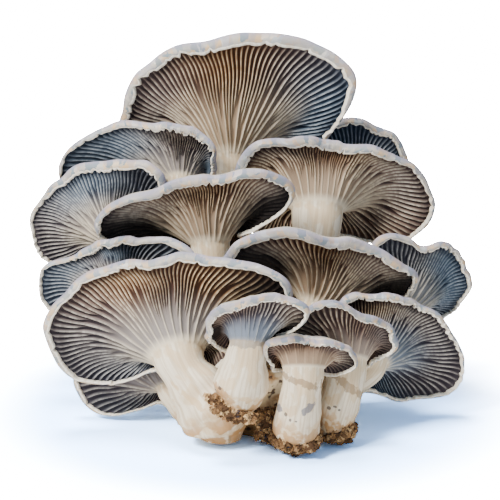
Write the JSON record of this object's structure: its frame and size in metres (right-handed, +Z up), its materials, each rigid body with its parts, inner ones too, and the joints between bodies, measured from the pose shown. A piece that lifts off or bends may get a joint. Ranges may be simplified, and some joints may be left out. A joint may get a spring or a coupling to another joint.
{
  "type": "oyster mushroom cluster",
  "caption": "Picked cluster of grey-blue oyster mushrooms: overlapping ribbed caps on pale stems that grow from one fused base and stand on their cut stem ends.",
  "frame": {"origin": "middle of the cluster's footprint box, on the surface that it stands on", "axes": "+Z up, -Y towards the front, where the gills look, +X to the right seen from the front"},
  "size_m": [0.2083, 0.1598, 0.171],
  "materials": {
    "mushroom_flesh": "soft matt flesh, pale stems, grey-blue cap tops and brown valleys between cream gills",
    "base_flesh": "matt cream flesh with tan stains",
    "growing_medium": "rough dark brown crumbs"
  },
  "bodies": {
    "root": {"top_mushroom": "mushroom_flesh", "upper_left_mushroom": "mushroom_flesh", "left_mushroom": "mushroom_flesh", "middle_left_mushroom": "mushroom_flesh", "low_left_mushroom": "mushroom_flesh", "front_left_mushroom": "mushroom_flesh", "bottom_left_mushroom": "mushroom_flesh", "upper_right_mushroom": "mushroom_flesh", "back_right_mushroom": "mushroom_flesh", "right_mushroom": "mushroom_flesh", "middle_right_mushroom": "mushroom_flesh", "bottom_right_mushroom": "mushroom_flesh", "small_left_mushroom": "mushroom_flesh", "small_middle_mushroom": "mushroom_flesh", "small_right_mushroom": "mushroom_flesh", "fused_base": "base_flesh", "crumbs_small_left": "growing_medium", "crumbs_small_middle": "growing_medium", "crumbs_small_right": "growing_medium", "crumbs_base": "growing_medium"}
  },
  "joints": []
}
